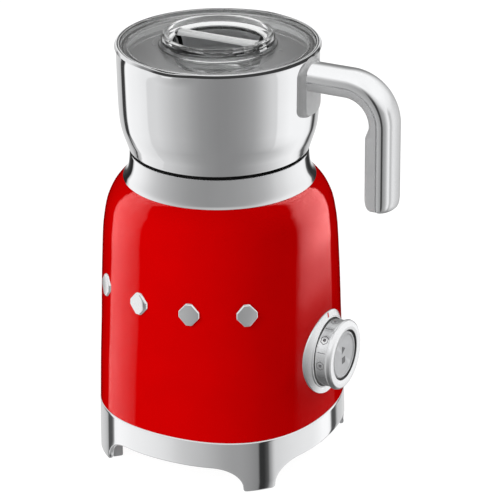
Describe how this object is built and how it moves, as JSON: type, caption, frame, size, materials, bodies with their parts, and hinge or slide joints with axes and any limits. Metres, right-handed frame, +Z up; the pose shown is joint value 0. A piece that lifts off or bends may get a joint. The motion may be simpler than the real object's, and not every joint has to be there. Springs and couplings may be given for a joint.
{
  "type": "milk frothing pitcher",
  "caption": "Countertop induction milk frother: rounded powered base on legs, side selector knob, and a lift-off steel jug with side handle, clear lid and measuring cap.",
  "frame": {"origin": "on the floor plane, under the middle of the bounding box; the body axis stands at x = -0.01933", "axes": "+Z up along the body axis, +X towards the handle and the selector knob, -Y towards the front of the appliance"},
  "size_m": [0.165, 0.1262, 0.2307],
  "materials": {
    "red_paint": "gloss",
    "bright_chrome": "polished",
    "jug_steel": "mirror polished stainless steel",
    "satin_metal": "satin",
    "button_grey": "satin",
    "handle_grey": "matte",
    "black_plastic": "matte",
    "black_rubber": "matte",
    "foot_rubber": "matte",
    "clear_plastic": "clear gloss",
    "silicone": "translucent satin",
    "white_plastic": "matte",
    "copper": "enamelled wire",
    "dark_ferrite": "sintered",
    "zinc_metal": "zinc plated",
    "circuit_board": "solder mask",
    "blue_sleeve": "shrink sleeve",
    "red_mark": "gloss"
  },
  "bodies": {
    "base": {"housing_shell": "red_paint", "trim_stud_1": "bright_chrome", "trim_stud_2": "bright_chrome", "trim_stud_3": "bright_chrome", "trim_stud_4": "bright_chrome", "collar_ring": "bright_chrome", "base_skirt": "bright_chrome", "foot_pad_1": "foot_rubber", "foot_pad_2": "foot_rubber", "foot_pad_3": "foot_rubber", "foot_pad_4": "foot_rubber", "bottom_cover": "black_plastic", "cover_screw_1": "zinc_metal", "cover_screw_2": "zinc_metal", "cover_screw_3": "zinc_metal", "cover_screw_4": "zinc_metal", "cord_winder": "black_plastic", "power_cord": "black_plastic", "strain_relief": "black_plastic", "plug_body": "black_plastic", "plug_pin_1": "zinc_metal", "plug_pin_2": "zinc_metal", "chassis": "white_plastic", "seat_cup": "black_plastic", "seat_gasket": "black_rubber", "coil_former": "white_plastic", "induction_coil": "copper", "ferrite_ring": "dark_ferrite", "motor_body": "zinc_metal", "control_board": "circuit_board", "smoothing_capacitor": "blue_sleeve", "filter_choke": "copper", "heatsink": "satin_metal", "mains_lead": "black_plastic", "knob_bezel": "bright_chrome", "index_mark": "red_mark", "knob_core": "white_plastic", "selector_board": "circuit_board", "start_switch": "black_plastic", "sensor_spring": "zinc_metal", "button_spring": "zinc_metal"},
    "rotor": {"motor_shaft": "jug_steel", "magnet_carrier": "white_plastic", "drive_magnets": "dark_ferrite"},
    "selector": {"selector_ring": "satin_metal"},
    "button": {"start_button": "button_grey"},
    "sensor": {"temperature_sensor": "zinc_metal"},
    "jug": {"jug_shell": "jug_steel", "jug_base_disc": "satin_metal", "whisk_pin": "jug_steel", "handle_bracket": "handle_grey", "handle_cover": "bright_chrome", "handle_insert": "handle_grey"},
    "whisk": {"whisk_hub": "black_plastic", "whisk_magnets": "dark_ferrite"},
    "frother": {"froth_disc": "black_plastic"},
    "lid": {"lid_plate": "clear_plastic", "lid_seal": "silicone", "cap_seal": "silicone"},
    "cap": {"measuring_cap": "clear_plastic"}
  },
  "joints": [
    {"name": "jug_lift", "type": "slide", "parent": "base", "child": "jug", "axis": [0, 0, 1], "range_m": [0, 0.12]},
    {"name": "lid_lift", "type": "slide", "parent": "jug", "child": "lid", "axis": [0, 0, 1], "range_m": [0, 0.06]},
    {"name": "cap_lift", "type": "slide", "parent": "lid", "child": "cap", "axis": [0, 0, 1], "range_m": [0, 0.05]},
    {"name": "rotor_spin", "type": "hinge", "parent": "base", "child": "rotor", "pos_m": [-0.01933, 0, 0.147], "axis": [0, 0, 1], "continuous": true},
    {"name": "whisk_spin", "type": "hinge", "parent": "jug", "child": "whisk", "pos_m": [-0.01933, 0, 0.164], "axis": [0, 0, 1], "continuous": true},
    {"name": "disc_pull", "type": "slide", "parent": "whisk", "child": "frother", "axis": [0, 0, 1], "range_m": [0, 0.03]},
    {"name": "selector_turn", "type": "hinge", "parent": "base", "child": "selector", "pos_m": [0.04867, 0, 0.064], "axis": [1, 0, 0], "continuous": true},
    {"name": "button_press", "type": "slide", "parent": "base", "child": "button", "axis": [-1, 0, 0], "range_m": [0, 0.0012], "stiffness_N_per_m": 900, "deforming": ["button_spring"]},
    {"name": "sensor_press", "type": "slide", "parent": "base", "child": "sensor", "axis": [0, 0, -1], "range_m": [0, 0.0012], "stiffness_N_per_m": 300, "deforming": ["sensor_spring"]}
  ],
  "couplings": [
    {"joint": "whisk_spin", "follows": "rotor_spin", "ratio": 1}
  ]
}
